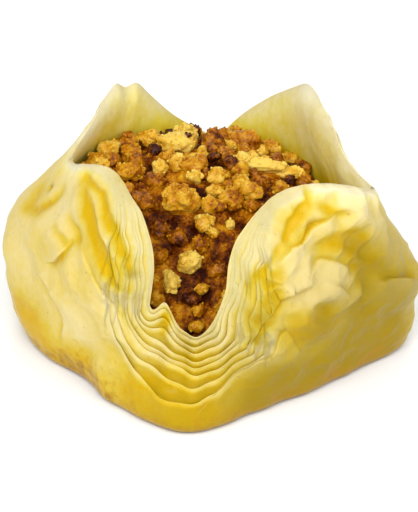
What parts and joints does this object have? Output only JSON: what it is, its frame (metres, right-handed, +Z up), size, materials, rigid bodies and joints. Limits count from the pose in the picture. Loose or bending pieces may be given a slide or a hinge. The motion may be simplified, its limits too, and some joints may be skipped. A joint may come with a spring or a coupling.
{
  "type": "baklava piece",
  "caption": "Square baklava pouch: stacked filo sheets folded up round a heap of chopped walnuts, with four pointed flaps and an open notch.",
  "frame": {"origin": "centre of the flat underside, at the middle of the whole pouch seen from above", "axes": "+Z up through the open top; the base's sides run along X and Y; the open front notch is towards -X -Y"},
  "size_m": [0.0512, 0.0518, 0.0364],
  "materials": {
    "filo": "baked filo sheets, glossy with butter and syrup",
    "walnut": "chopped walnuts, wet with syrup"
  },
  "bodies": {
    "root": {"filo_pouch": "filo", "walnut_filling": "walnut"}
  },
  "joints": []
}
